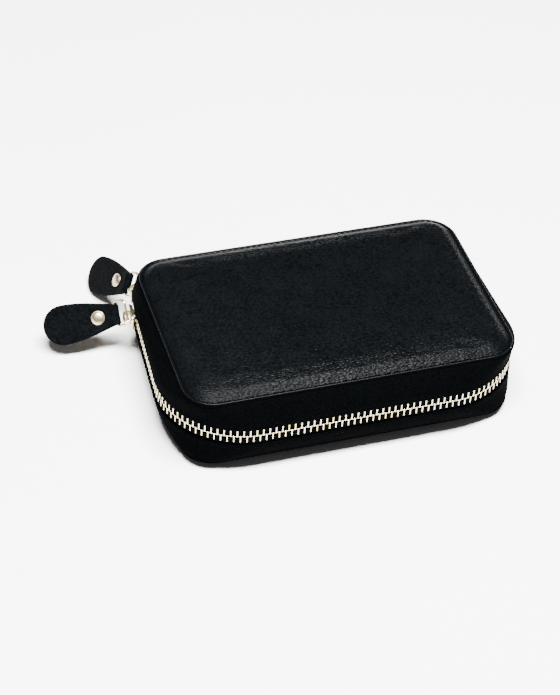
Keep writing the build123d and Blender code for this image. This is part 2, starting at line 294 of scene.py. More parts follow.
def apply_modifiers(piece):
    """Replaces a piece's mesh by what its modifiers give."""
    graph = bpy.context.evaluated_depsgraph_get()
    graph.update()
    made = bpy.data.meshes.new_from_object(piece.evaluated_get(graph))
    old = piece.data
    piece.modifiers.clear()
    piece.data = made
    made.name = piece.name
    bpy.data.meshes.remove(old)
    return piece


def subdivide(piece, levels=1):
    """Catmull-Clark subdivision, applied."""
    step = piece.modifiers.new("smooth", "SUBSURF")
    step.levels = step.render_levels = levels
    return apply_modifiers(piece)


def vertices(piece):
    """A piece's points in metres."""
    return np.array([v.co for v in piece.data.vertices])


def move_vertices(piece, points):
    """Puts a piece's points where an array in metres says."""
    piece.data.vertices.foreach_set("co", points.ravel())
    piece.data.update()


def placed(points, place):
    """Millimetre points moved by a 4x4."""
    m = np.array(place)
    return np.asarray(points, float) @ m[:3, :3].T + m[:3, 3]


def flipped(points):
    """Points mirrored in the plane of the zip, which turns base shapes into lid shapes."""
    out = np.array(points, float)
    out[:, 2] = 2 * ZIP_Z - out[:, 2]
    return out


def for_half(points, half):
    """Points given for the base, mirrored where they are wanted for the lid."""
    return flipped(points) if half == "lid" else points


def half_piece(name, half, rings, loop=False):
    """A piece of one half from rings given for the base."""
    return fix_normals(skin(f"{half}_{name}", [for_half(np.array(r), half) for r in rings], loop))


def finish_piece(piece, body, material, replaces=()):
    """Gives a piece its material and body, and hides the CAD nodes that it stands for."""
    piece.data.materials.clear()
    piece.data.materials.append(material)
    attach(piece, body)
    if replaces:
        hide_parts(*replaces)
    return piece


def smooth_noise(points, scale, seed):
    """Gentle waves from a few sines with seeded phases: one value in -1..1 for each point."""
    rng = np.random.default_rng(SEED + seed)
    total = np.zeros(len(points))
    for _ in range(6):
        direction = rng.normal(size=3)
        direction /= np.linalg.norm(direction)
        wave = 2 * math.pi / (scale * rng.uniform(0.7, 1.6))
        total += np.sin(points @ direction * wave + rng.uniform(0, 2 * math.pi))
    return total / 3.5


# ---- materials ----
class Surface:
    """A Principled material being built from nodes."""

    def __init__(self, name):
        self.material = bpy.data.materials.new(name)
        self.material.use_nodes = True
        self.tree = self.material.node_tree
        self.shader = self.tree.nodes["Principled BSDF"]
        self.where = self.tree.nodes.new("ShaderNodeTexCoord").outputs["Object"]
        self.normal = None

    def feed(self, socket, value):
        """Links a socket to an output, or sets it to a plain value."""
        if isinstance(value, bpy.types.NodeSocket):
            self.tree.links.new(value, socket)
        else:
            socket.default_value = value

    def node(self, kind, output, settings, *values, **named):
        """An output of a new node; inputs are fed in order, or by name with _ for a space."""
        made = self.tree.nodes.new(kind)
        for key, value in settings.items():
            setattr(made, key, value)
        for socket, value in zip(made.inputs, values):
            self.feed(socket, value)
        for key, value in named.items():
            self.feed(made.inputs[key.replace("_", " ")], value)
        return made.outputs[output]

    def scaled(self, x, y, z):
        """Object coordinates, in metres, stretched along each axis."""
        return self.node("ShaderNodeMapping", "Vector", {}, Vector=self.where, Scale=(x, y, z))

    def noise(self, vector, scale, detail=2.0, roughness=0.5):
        inputs = {"Vector": vector, "Scale": scale, "Detail": detail, "Roughness": roughness}
        return self.node("ShaderNodeTexNoise", "Fac", {}, **inputs)

    def cells(self, vector, scale, smoothness):
        inputs = {"Vector": vector, "Scale": scale, "Smoothness": smoothness}
        return self.node("ShaderNodeTexVoronoi", "Distance", {"feature": "SMOOTH_F1"}, **inputs)

    def waves(self, vector, scale, distortion, direction):
        settings = {"wave_type": "BANDS", "bands_direction": direction, "wave_profile": "SIN"}
        inputs = {"Vector": vector, "Scale": scale, "Distortion": distortion}
        return self.node("ShaderNodeTexWave", "Fac", settings, **inputs)

    def math(self, operation, a, b):
        return self.node("ShaderNodeMath", 0, {"operation": operation}, a, b)

    def ramp(self, value, stops):
        """Colour ramp from two (position, colour) stops."""
        made = self.tree.nodes.new("ShaderNodeValToRGB")
        self.feed(made.inputs["Fac"], value)
        for element, (position, colour) in zip(made.color_ramp.elements, stops):
            element.position = position
            element.color = (*colour, 1.0)
        return made.outputs["Color"]

    def bump(self, height, distance):
        """Adds a bump of a depth in metres on top of those before it."""
        below = {"Normal": self.normal} if self.normal is not None else {}
        inputs = {"Height": height, "Distance": distance, "Strength": 1.0}
        self.normal = self.node("ShaderNodeBump", "Normal", {}, **inputs, **below)
        self.feed(self.shader.inputs["Normal"], self.normal)

    def set(self, **values):
        """Sets or links Principled inputs by name."""
        for key, value in values.items():
            self.feed(self.shader.inputs[key.replace("_", " ")], value)


# where the cover is glossiest along its length, and over how far it dulls, in metres
WORN_X = 0.012
WORN_HALF = 0.085


def leather(name, dark, light, grain, depth, rough, specular, stretch=1.0, rolling=0.0, worn=0.0):
    """Pebbled leather; grain is pebbles per metre and depth their height in metres.

    stretch lengthens the grain along x, rolling adds slow waves, and worn dulls both ends.
    """
    s = Surface(name)
    wander = s.node("ShaderNodeTexNoise", "Color", {}, Vector=s.where, Scale=grain * 0.45)
    stretched = s.scaled(1.0, stretch, stretch)
    shift = {"operation": "MULTIPLY_ADD"}
    space = s.node("ShaderNodeVectorMath", 0, shift, wander, (0.9 / grain,) * 3, stretched)
    wobble = s.noise(s.where, 90.0, 2.0)
    pebbles = s.math("SUBTRACT", 1.0, s.cells(space, grain, 0.25))
    pores = s.noise(s.where, grain * 5.0, 2.0)
    tone = s.math("ADD", s.math("MULTIPLY", pebbles, 0.9), s.math("MULTIPLY", wobble, 0.35))
    s.set(Base_Color=s.ramp(tone, [(0.35, dark), (1.0, light)]))
    gloss = s.math("MULTIPLY", wobble, 0.16)
    if worn:
        along = s.node("ShaderNodeSeparateXYZ", "X", {}, s.where)
        out = s.math("MULTIPLY", s.math("SUBTRACT", along, WORN_X), 1 / WORN_HALF)
        gloss = s.math("ADD", gloss, s.math("MULTIPLY", s.math("MULTIPLY", out, out), worn))
    s.set(Roughness=s.math("ADD", gloss, rough - 0.08), Specular_IOR_Level=specular)
    if rolling:
        s.bump(s.noise(s.scaled(1.0, 3.2, 3.2), 110.0, 3.0, 0.6), rolling)
    s.bump(pebbles, depth)
    s.bump(pores, depth * 0.12)
    return s.material


def woven(name, dark, light, threads, depth, rough, sheen, diagonal=False, specular=0.06):
    """Cloth with a thread texture; threads per metre, their height in metres."""
    s = Surface(name)
    over = s.waves(s.where, threads / 2, 0.4, "DIAGONAL" if diagonal else "X")
    under = s.waves(s.where, threads / 2, 0.4, "Y")
    rise = s.waves(s.where, threads / 2, 0.4, "Z")
    weave = s.math("MAXIMUM", s.math("MULTIPLY", over, under), s.math("MULTIPLY", rise, over))
    cloud = s.noise(s.where, 60.0, 2.0)
    tone = s.math("ADD", s.math("MULTIPLY", weave, 0.6), s.math("MULTIPLY", cloud, 0.4))
    s.set(Base_Color=s.ramp(tone, [(0.2, dark), (0.8, light)]))
    s.set(Roughness=rough, Specular_IOR_Level=specular, Sheen_Weight=sheen, Sheen_Roughness=0.5)
    s.bump(weave, depth)
    return s.material


def plated(name, pale, deep, rough, scratch):
    """Plated metal with faint polishing marks and a darker tone in patches."""
    s = Surface(name)
    marks = s.noise(s.scaled(6.0, 1.0, 1.0), 900.0, 2.0, 0.6)
    cloud = s.noise(s.where, 320.0, 2.0)
    s.set(Base_Color=s.ramp(cloud, [(0.3, deep), (0.7, pale)]), Metallic=1.0)
    s.set(Roughness=s.math("ADD", s.math("MULTIPLY", marks, 0.14), rough - 0.07))
    s.bump(marks, scratch)
    return s.material


BLACK = (0.0004, 0.0005, 0.0006), (0.0009, 0.0011, 0.0013)

LEATHER = leather(
    "cover_leather", (0.0006, 0.0008, 0.0009), (0.002, 0.0025, 0.003), grain=560.0, depth=0.00022,
    rough=0.27, specular=0.025, stretch=2.4, rolling=0.00025, worn=0.12,
)
# The base's cover is the same leather as the lid's. Its colour is made near-black as painted shade, to hold
# back the light that the bright floor throws up onto the lower half.
BASE_LEATHER_PAINTED_SHADE = leather(
    "base_leather_painted_shade", *BLACK, grain=430.0, depth=0.00022, rough=0.7, specular=0.0, stretch=1.65,
    rolling=0.0003,
)
EDGE = leather(
    "edge_leather", (0.001, 0.0012, 0.0015), (0.0022, 0.0026, 0.0032), grain=900.0, depth=0.00006,
    rough=0.3, specular=0.07,
)
# A near-black copy of the edge leather. On the base's rim its colour is painted shade against the floor's
# light; the welt beads of both halves also use it.
DARKER_EDGE = leather("darker_edge", *BLACK, grain=900.0, depth=0.00006, rough=0.7, specular=0.0)
WALL_LEATHER = leather(
    "wall_leather", *BLACK, grain=800.0, depth=0.00007, rough=0.75, specular=0.002, stretch=1.1,
    rolling=0.0003,
)
TAB_LEATHER = leather(
    "tab_leather", (0.0009, 0.0011, 0.0014), (0.0022, 0.0026, 0.003), grain=620.0, depth=0.00014,
    rough=0.5, specular=0.004, rolling=0.0002,
)
THREAD = woven(
    "thread", (0.0006, 0.0007, 0.0009), (0.0018, 0.002, 0.0024), 5200.0, 0.00005, 0.7, 0.0, specular=0.01
)
LINING = woven("lining", (0.008, 0.008, 0.011), (0.018, 0.018, 0.022), 2600.0, 0.00005, 0.85, 0.03, True)
GREYBOARD = woven("greyboard", (0.03, 0.03, 0.028), (0.06, 0.06, 0.055), 900.0, 0.00003, 0.9, 0.0)
ELASTIC = woven("elastic", (0.006, 0.006, 0.008), (0.018, 0.018, 0.021), 1500.0, 0.00018, 0.8, 0.05)
TAPE = woven(
    "zip_tape", (0.0005, 0.0006, 0.0008), (0.0015, 0.0017, 0.002), 2000.0, 0.00012, 0.85, 0.0, specular=0.01
)
ZIP_METAL = plated("zip_metal", (0.86, 0.78, 0.53), (0.56, 0.47, 0.27), 0.24, 0.000004)
RIVET_METAL = plated("rivet_metal", (0.52, 0.44, 0.29), (0.40, 0.33, 0.21), 0.34, 0.000003)

# ---- cover panels ----
MARGIN = 1.3
GROOVE_AT = MARGIN - 0.15
GROOVE_RISE = 0.36
PAD_INSET = MARGIN + 0.15
PAD_FOOT = 0.35
PAD_SLOPE = 0.72
PAD_STRAIGHT = 2.2
PAD_ROUND = 5.0
PAD_SWELL = 0.75
CROWN_RUN = 30.0
PAD_GRID = (56, 38)
EDGE_PACKING = 0.5
SWELL_CAP = 0.4
PRESSURE = 4.0
LAST_FRAME = 20
SETTLE = 0.25
STITCH_PITCH = 3.3


def rim_profile(half):
    """The cover's turned edge outside its stitched groove, as (inset, rise) round one section."""
    section = [
        (1.6, 0.05), (0.4, 0.05), (0.1, 0.14), (0.0, 0.34), (0.05, 0.6), (0.2, 0.78), (0.42, 0.86),
        (0.65, 0.8), (0.82, 0.62), (0.92, 0.42), (1.1, 0.24), (1.6, 0.2),
    ]
    rings = [ring_at(0.0, inset, EDGE_Z - rise) for inset, rise in section]
    return half_piece("cover_rim", half, rings, loop=True)


def packed(count):
    """0 to 1 in count steps that are shorter near both ends."""
    t = np.linspace(0, 1, count + 1)
    return t - EDGE_PACKING * np.sin(2 * math.pi * t) / (2 * math.pi)


def patch_sides(inset, nx, ny):
    """The panel's outline cut at the middles of its corners: front, back, left and right runs."""
    fine = 4
    flat, _ = case_outline(0.0, inset, fine)
    starts, index = [], 0
    for steps in SIDE_STEPS:
        index += steps * fine - 1
        starts.append(index + CORNER_STEPS * fine // 2)
        index += CORNER_STEPS * fine + 1
    right_front, right_back, left_back, left_front = starts

    def run(a, b, count):
        ids = np.arange(a, b + 1 if b > a else b + len(flat) + 1) % len(flat)
        line = flat[ids]
        at = np.concatenate([[0.0], np.cumsum(np.hypot(*np.diff(line, axis=0).T))])
        spots = packed(count) * at[-1]
        return np.column_stack([np.interp(spots, at, line[:, k]) for k in (0, 1)])

    front = run(left_front, right_front, nx)
    back = run(right_back, left_back, nx)[::-1]
    left = run(left_back, left_front, ny)[::-1]
    right = run(right_front, right_back, ny)
    return front, back, left, right


def panel_grid(inset, nx, ny):
    """A grid of plan points, (ny + 1, nx + 1, 2), that fills the panel out to its rounded outline."""
    front, back, left, right = patch_sides(inset, nx, ny)
    u = packed(nx)[None, :, None]
    v = packed(ny)[:, None, None]
    edges = mix(front[None], back[None], v) + mix(left[:, None], right[:, None], u)
    corners = mix(mix(front[0], front[-1], u), mix(back[0], back[-1], u), v)
    return edges - corners


def edge_distance(flat):
    """Distance in from the panel's edge at plan points."""
    q = np.abs(flat) - (np.array([HALF_L, HALF_W]) - PANEL_R)
    outside = np.hypot(np.maximum(q[..., 0], 0), np.maximum(q[..., 1], 0))
    return PANEL_R - outside - np.minimum(np.maximum(q[..., 0], q[..., 1]), 0)


def pad_rise(distance):
    """How far the padded cover stands above the panel's edge plane, by distance in from the edge."""
    straight = np.clip(distance - MARGIN, 0, PAD_STRAIGHT)
    turn = np.clip((distance - MARGIN - PAD_STRAIGHT) / PAD_ROUND, 0, 1)
    shoulder = straight + PAD_ROUND * (turn - turn**3 + turn**4 / 2)
    return PAD_FOOT + PAD_SLOPE * shoulder + PAD_SWELL * ease((distance - MARGIN) / CROWN_RUN)


def sheet_border(nx, ny):
    """Indices round the border of a grid of (ny + 1, nx + 1) points."""
    row = nx + 1
    border = [k for k in range(row)] + [k * row + nx for k in range(1, ny + 1)]
    return border + [ny * row + k for k in range(nx - 1, -1, -1)] + [k * row for k in range(ny - 1, 0, -1)]


def closed_sheet(name, top, bottom, nx, ny, half="base"):
    """A closed sheet between two grids of points, mirrored for the lid."""
    count = len(top)
    cells = skin_faces(ny + 1, nx + 1, wrap=False)
    faces = [f[::-1] for f in cells] + [tuple(i + count for i in f) for f in cells]
    border = sheet_border(nx, ny)
    for a, b in zip(border, border[1:] + border[:1]):
        faces.append((a, b, b + count, a + count))
    points = for_half(np.vstack([top, bottom]), half)
    return fix_normals(make_object(name, points, faces))


def pillow(name):
    """The base's padded cover inside the groove, domed outwards and flat inside."""
    nx, ny = PAD_GRID
    grid = panel_grid(PAD_INSET, nx, ny).reshape(-1, 2)
    rise = pad_rise(edge_distance(grid))
    count = len(grid)
    top = np.column_stack([grid, EDGE_Z - rise])
    bottom = np.column_stack([grid, np.full(count, EDGE_Z - 0.06)])
    piece = closed_sheet(name, top, bottom, nx, ny)
    pins = piece.vertex_groups.new(name="held")
    pins.add(list(range(count, 2 * count)) + sheet_border(nx, ny), 1.0, "REPLACE")
    return piece


def inflate(piece):
    """Swells a pillow as cloth from its held underside, and keeps each point within a cap."""
    rest = vertices(piece)
    cloth = piece.modifiers.new("cloth", "CLOTH")
    s = cloth.settings
    s.quality = 6
    s.mass = 0.25
    s.tension_stiffness = s.compression_stiffness = 18
    s.shear_stiffness = 8
    s.bending_stiffness = 0.6
    s.use_pressure = True
    s.uniform_pressure_force = PRESSURE
    s.effector_weights.gravity = 0
    s.vertex_group_mass = "held"
    cloth.point_cache.frame_start, cloth.point_cache.frame_end = 1, LAST_FRAME
    scene = bpy.context.scene
    scene.frame_start, scene.frame_end = 1, LAST_FRAME
    for frame_number in range(1, LAST_FRAME + 1):
        scene.frame_set(frame_number)
    apply_modifiers(piece)
    moved = vertices(piece) - rest
    length = np.linalg.norm(moved, axis=1, keepdims=True)
    cap = SWELL_CAP * MM
    share = np.tanh(length / cap) * cap / np.maximum(length, 1e-9)
    limited = rest + moved * np.where(length > 1e-9, share, 0)
    move_vertices(piece, limited)
    scene.frame_set(1)


def settle_flat(piece):
    """Presses a resting pad level where it would go through the floor."""
    flat = vertices(piece)
    soft = SETTLE * MM
    z = flat[:, 2]
    flat[:, 2] = np.where(z > 2 * soft, z, soft * np.log1p(np.exp(np.clip(z / soft, -30, 2.2))))
    move_vertices(piece, flat)


def mirrored_copy(piece, name):
    """A piece's copy for the lid, mirrored in the plane of the zip."""
    copy = bpy.data.objects.new(name, piece.data.copy())
    copy.data.name = name
    bpy.context.collection.objects.link(copy)
    points = vertices(copy)
    points[:, 2] = 2 * ZIP_Z * MM - points[:, 2]
    move_vertices(copy, points)
    return fix_normals(copy)


def bead_mesh(centre, along, up, length, width, height, turns=8, rings=5):
    """An egg-shaped thread stitch: points and faces."""
    along, up = np.array(along, float), np.array(up, float)
    across = np.cross(up, along)
    points = []
    for r in range(rings):
        a = math.pi * (r + 0.5) / rings
        for t in range(turns):
            b = 2 * math.pi * t / turns
            points.append(
                centre
                - along * math.cos(a) * length / 2
                + (across * math.cos(b) * width + up * math.sin(b) * height) * math.sin(a) / 2
            )
    return np.array(points), skin_faces(rings, turns) + cap_faces(rings, turns)


def walk(line, pitch, closed=True):
    """Evenly spaced spots along a polyline (n, 3): points, directions."""
    if closed:
        line = np.vstack([line, line[:1]])
    at = np.concatenate([[0.0], np.cumsum(np.linalg.norm(np.diff(line, axis=0), axis=1))])
    count = max(2, int(round(at[-1] / pitch)))
    spots = np.linspace(0, at[-1], count, endpoint=False)
    points, ahead = (
        np.column_stack([np.interp(spot, at, line[:, k]) for k in range(3)])
        for spot in (spots, np.minimum(spots + 0.4, at[-1]))
    )
    directions = ahead - points
    return points, directions / np.linalg.norm(directions, axis=1, keepdims=True)


def stitch_row(name, line, up, pitch=STITCH_PITCH, length=2.5, width=0.55, height=0.45, closed=True):
    """A row of stitches along a line; up is one direction or one for each stitch."""
    points, directions = walk(line, pitch, closed)
    ups = np.broadcast_to(np.asarray(up(points) if callable(up) else up, float), points.shape)
    rows = [bead_mesh(p, d, u, length, width, height) for p, d, u in zip(points, directions, ups)]
    return join_meshes(name, rows)


def make_covers():
    """Both padded covers with their turned rims and stitched grooves."""
    pad = pillow("base_pad")
    inflate(pad)
    pad.vertex_groups.clear()
    subdivide(pad)
    lid_pad = mirrored_copy(pad, "lid_pad")
    settle_flat(pad)
    for half, piece in (("base", pad), ("lid", lid_pad)):
        # the base half takes the darker copies of the cover and rim leathers, which are painted shade
        skin_of, edge_of = (LEATHER, EDGE) if half == "lid" else (BASE_LEATHER_PAINTED_SHADE, DARKER_EDGE)
        finish_piece(piece, half, skin_of, (f"{half}_cover", f"{half}_padding"))
        finish_piece(rim_profile(half), half, edge_of)
        line = for_half(ring_at(0.0, GROOVE_AT, EDGE_Z - GROOVE_RISE), half)
        out = (0, 0, 1) if half == "lid" else (0, 0, -1)
        row = stitch_row(f"{half}_cover_stitches", line, out, width=0.4, height=0.34)
        finish_piece(row, half, THREAD)


make_covers()

# ---- walls ----
WALL_STATIONS = 300
WELT_R = 0.55
BACK_TUCK = 1.1
TUCK_FROM = 0.93
LIP_Z = 18.7
STITCH_DROP = 1.9
STITCH_INSET = -1.02
GUSSET_WAVE = 0.22
GUSSET_WAVE_RUN = 34.0
LINING_LAP = 0.3


def wall_ring(z, inset):
    """A wall's line at height z, from the spine's left end round the front to its right end."""
    flat, normals = case_outline(bulge_at(z), inset, fine=4)
    flat = flat - normals * BACK_TUCK * ease((normals[:, 1:] - TUCK_FROM) / (1 - TUCK_FROM))
    first = int(np.argmin(np.abs(flat[:, 0]) + np.where(flat[:, 1] < 0, 1e3, 0)))
    flat = np.roll(flat, -first, axis=0)
    flat = np.vstack([flat, flat[:1]])
    at = np.concatenate([[0.0], np.cumsum(np.hypot(*np.diff(flat, axis=0).T))])
    quarter = int(np.argmin(flat[:, 0]))
    start = np.interp(SPINE_HALF_L, -flat[:quarter, 0], at[:quarter])
    spots = np.linspace(start, at[-1] - start, WALL_STATIONS)
    sampled = [np.interp(spots, at, flat[:, k]) for k in (0, 1)]
    return np.column_stack([*sampled, np.full(WALL_STATIONS, z)])


def wall_sheet(name, half, section, wave=0.0, seed=0):
    """A closed strip round the wall from a section of (height, inset) pairs."""
    rings = []
    for z, inset in section:
        ring = wall_ring(z, inset)
        if wave:
            away = ring[:, :2] / np.linalg.norm(ring[:, :2], axis=1, keepdims=True)
            amount = wave * smooth_noise(ring, GUSSET_WAVE_RUN, seed) * math.sin(math.pi * bulge_at(z) ** 2)
            ring[:, :2] += away * amount[:, None]
        rings.append(for_half(ring, half))
    count = WALL_STATIONS
    faces = skin_faces(len(rings), count, wrap=False, loop=True)
    faces.append(tuple(r * count for r in range(len(rings))))
    faces.append(tuple(r * count + count - 1 for r in reversed(range(len(rings)))))
    return fix_normals(make_object(f"{half}_{name}", np.vstack(rings), faces))


def gusset_section():
    """The gusset leather: up its outside, over the rolled lip at the zip and down its inside."""
    heights = np.linspace(EDGE_Z + 0.35, LIP_Z - 1.1, 16)
    outside = [(z, -1.0 + 0.5 * (1 - min(1, (z - EDGE_Z) / 3.0))) for z in heights]
    lip = [(LIP_Z - 0.7, -1.12), (LIP_Z - 0.3, -1.12), (LIP_Z - 0.05, -0.98), (LIP_Z, -0.76),
           (LIP_Z - 0.06, -0.55), (LIP_Z - 0.3, -0.42)]
    inside = [(z, -0.36) for z in heights[::-3]]
    return outside + lip + inside


def lining_section():
    """The wall's lining: up its inside face and back down beside the tape."""
    heights = np.linspace(FLOOR_Z - LINING_LAP, LIP_Z - 0.6, 12)
    inside = [(z, 1.3) for z in heights]
    top = [(LIP_Z - 0.3, 1.2), (LIP_Z - 0.15, 0.85), (LIP_Z - 0.3, 0.5)]
    return inside + top + [(z, 0.42) for z in heights[::-3]]


def welt_piece(half):
    """The rolled bead between cover and wall."""
    section = []
    for t in range(10):
        a = 2 * math.pi * t / 10
        section.append((-0.42 + WELT_R * math.cos(a), EDGE_Z + 0.32 + WELT_R * math.sin(a)))
    rings = [ring_at(0.0, inset, z) for inset, z in section]
    return half_piece("welt_bead", half, rings, loop=True)


def outward(points):
    """Level directions away from the case's middle."""
    return points * (1, 1, 0) / np.linalg.norm(points[:, :2], axis=1)[:, None]


def make_walls():
    """Both gussets with their linings, welts and seams."""
    for seed, half in enumerate(("base", "lid")):
        wall = wall_sheet("gusset_leather", half, gusset_section(), GUSSET_WAVE, seed)
        finish_piece(wall, half, WALL_LEATHER, (f"{half}_gusset",))
        lining = wall_sheet("wall_lining", half, lining_section())
        finish_piece(lining, half, LINING)
        finish_piece(welt_piece(half), half, DARKER_EDGE, (f"{half}_welt",))
        line = for_half(wall_ring(LIP_Z - STITCH_DROP, STITCH_INSET), half)
        row = stitch_row(f"{half}_wall_stitches", line, outward, 3.2, 2.3, 0.45, 0.35, closed=False)
        finish_piece(row, half, THREAD)


make_walls()

# ---- zip tape and teeth ----
TAPE_TOP = 22.8
TAPE_FOOT = 15.4
TAPE_HALF = 0.2
CORD_R = 0.3
CORD_DROP = 0.4
CORD_NECK = 1.6
TURN_IN = 2.2
TURN_RUN = 5.0
# degrees round the back left and the back right corner
TEETH_FROM = 14.0
TEETH_TO = 66.0
# the least gap between slider b and the first tooth of the lid
SLIDER_CLEAR = 2.0
TOOTH_PITCH = 3.3
TOOTH_OUT = 0.75


def zip_strip(name, half, section, start, end, step=1.6):
    """A closed strip along the zip from (outward, height) pairs; its edge turns in at both ends."""
    stations = np.linspace(start, end, int((end - start) / step))
    rings = []
    for at in stations:
        point, normal = on_zip(at)
        fall = TURN_IN * float(ease(1 - min(at - start, end - at) / TURN_RUN))
        rings.append([(*(point + normal * out), z - fall * (z > TAPE_FOOT)) for out, z in section])
    return half_piece(name, half, rings)


def tape_section():
    """Tape with a corded edge, as (outward, height)."""
    neck = TAPE_TOP - CORD_NECK
    side = [(-TAPE_HALF, TAPE_FOOT), (TAPE_HALF, TAPE_FOOT), (TAPE_HALF, neck)]
    cord = []
    for t in range(9):
        a = math.radians(-50 + 280 * t / 8)
        cord.append((CORD_R * math.cos(a), TAPE_TOP - CORD_DROP + CORD_R * math.sin(a)))
    return side + cord + [(-TAPE_HALF, neck)]


def tooth_loops():
    """A tooth's sections: (distance from the zip's centre to its own tape, half along, half out)."""
    return [
        (-0.26, 0.4, 0.3), (-0.18, 0.74, 0.42), (0.0, 0.8, 0.46), (0.18, 0.74, 0.48), (0.32, 0.46, 0.5),
        (0.6, 0.36, 0.52), (1.2, 0.33, 0.54), (2.2, 0.33, 0.55), (3.0, 0.36, 0.56), (3.5, 0.42, 0.56),
        (3.76, 0.34, 0.5), (3.88, 0.16, 0.4),
    ]


def tooth_mesh(place, flip):
    """One metal tooth; place has x along, y down and z out, and flip points it upwards."""
    turns, points = 12, []
    for down, half_a, half_n in tooth_loops():
        for t in range(turns):
            a = 2 * math.pi * (t + 0.5) / turns
            c, s = math.cos(a), math.sin(a)
            x = half_a * math.copysign(abs(c) ** 0.6, c)
            n = half_n * TOOTH_OUT * math.copysign(abs(s) ** 0.6, s)
            points.append((x, -down if flip else down, n))
    loops = len(tooth_loops())
    return placed(points, place), skin_faces(loops, turns) + cap_faces(loops, turns)


def teeth_row(half, start, end):
    """One half's row of teeth; the lid's stand half a pitch along."""
    shift = TOOTH_PITCH / 2 if half == "lid" else 0.0
    spots = np.arange(start + shift, end, TOOTH_PITCH)
    teeth = [tooth_mesh(zip_frame(at), half == "lid") for at in spots]
    return fix_normals(join_meshes(f"{half}_teeth", teeth))


def make_zip():
    """Both tapes and rows; the lid's row starts past slider b, on the grid of the base's."""
    for half in ("base", "lid"):
        tape = zip_strip("zip_tape_cloth", half, tape_section(), ZIP_LEFT, ZIP_RIGHT)
        finish_piece(tape, half, TAPE, (f"{half}_zip_tape",))
        start = at_angle(TEETH_FROM)
        if half == "lid":
            start += TOOTH_PITCH * math.ceil((SLIDER_B_AT + SLIDER_CLEAR - start) / TOOTH_PITCH)
        row = teeth_row(half, start, LINE_LENGTH - at_angle(TEETH_TO))
        finish_piece(row, half, ZIP_METAL, (f"{half}_zip_teeth",))


make_zip()

# ---- spine ----
SPINE_LOW = 5.0
SPINE_BEND = 19.0
SPINE_T = 1.5
SPINE_LAP = 1.2
SPINE_OUT = 0.25


def make_spine():
    """The spine leather, one sheet from cover to cover along the hinge."""
    wall = np.linspace(SPINE_LOW, SPINE_BEND, 8)[:-1]
    bend = np.linspace(SPINE_BEND, 2 * ZIP_Z - SPINE_BEND, 15)
    heights = np.concatenate([wall, bend, (2 * ZIP_Z - wall)[::-1]])
    across = np.linspace(-SPINE_HALF_L - SPINE_LAP, SPINE_HALF_L + SPINE_LAP, 71)
    rings = []
    for x in across:
        ring = []
        for side, order in ((1, heights), (0, heights[::-1])):
            for z in order:
                low = min(z, 2 * ZIP_Z - z)
                y = mix(HALF_W, SPINE_Y, bulge_at(low)) - (0 if side else SPINE_T)
                ring.append((x, y + SPINE_OUT, z))
        rings.append(np.array(ring))
    piece = fix_normals(skin("spine_leather", rings))
    piece.data.materials.append(WALL_LEATHER)
    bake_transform(piece)
    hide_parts("base_spine", "lid_spine")


make_spine()

# ---- sliders and pullers ----
PLATE_HALF = (6.0, 5.0)
PLATE_TAPER = 0.7
PLATE_CORNER = 1.8
PLATE_EDGE = 0.34
PLATE_Z = (2.0, 3.2)
FLANGE_HALF_L = 4.7
FLANGE_Z = 1.15
FLANGE_HALF_W = 0.4
FLANGE_CORNER = 0.38
FLANGE_EDGE = 0.2
FLANGE_SEAT = 0.3
FLANGE_STEP = 0.55
WEB_HALF = (1.1, 0.24)
WEB_Z = 0.75
WEB_CORNER = 0.22
WEB_EDGE = 0.1
WEB_SEAT = 0.2
CROWN_HALF_W = 1.3
CROWN_HALF_T = 0.55
CROWN_CORNER = 0.42
CROWN_PATH = [
    (-3.7, 2.8), (-3.7, 4.2), (-3.6, 5.1), (-3.2, 5.8), (-2.5, 6.15), (-1.3, 6.32),
    (0.0, 6.36), (1.3, 6.32), (2.5, 6.15), (3.2, 5.8), (3.6, 5.1), (3.7, 4.2), (3.7, 2.8),
]
WIRE_R = 0.7
BAIL_HALF_W = 6.5
BAIL_CORNER = 2.2
TAB_HALF_T = 1.4
TAB_LAYER_T = 1.3
TAB_NECK = 5.5
TAB_END_R = 10.5
TAB_LENGTH = 38.6
# the tab's side is a Bezier curve: where its control points stand along it, and its slope at the neck
TAB_PULL = 0.33
TAB_EASE = 0.62
TAB_FLARE = 0.24
TAB_EDGE_R = 0.4
FOLD_MID_R = 1.42
FOLD_RUN = 7.0
RIVET_AT = 9.5
RIVET_R = 3.7
DIMPLE = 0.22
DIMPLE_REACH = 5.2
PULLERS = {
    "a": {"at": SLIDER_A_AT, "wide": -1, "along": (-0.326, 0.846, -0.424), "face": (-0.848, -0.064, 0.526)},
    "b": {"at": SLIDER_B_AT, "wide": 1, "along": (-0.962, 0.169, -0.214), "face": (-0.270, -0.703, 0.658)},
}


def joint_point(name):
    """A joint's place in millimetres."""
    return np.array(next(joint["pos_m"] for joint in frame["joints"] if joint["name"] == name)) / MM


def rounded_rectangle(half_a, half_b, corner, steps=5, taper=0.0):
    """A closed outline (n, 2); taper narrows it towards +a."""
    outline = []
    for sa, sb, first in ((1, 1, 0), (-1, 1, 90), (-1, -1, 180), (1, -1, 270)):
        for k in range(steps + 1):
            a = math.radians(first + 90 * k / steps)
            outline.append((sa * (half_a - corner) + corner * math.cos(a),
                            sb * (half_b - corner) + corner * math.sin(a)))
    outline = np.array(outline)
    outline[:, 1] *= 1 - taper * (outline[:, 0] / half_a + 1) / 2 / half_b
    return outline


def slab(half_a, half_b, corner, low, high, edge, taper=0.0):
    """A plate with rounded corners and edges, flat across the third axis: points and faces."""
    rings = []
    for z, inset in ((low, edge), (low + 0.3 * edge, 0.3 * edge), (low + edge, 0),
                     (high - edge, 0), (high - 0.3 * edge, 0.3 * edge), (high, edge)):
        flat = rounded_rectangle(half_a - inset, half_b - inset, corner - inset, taper=taper)
        rings.append(np.column_stack([flat, np.full(len(flat), z)]))
    return solid(rings)


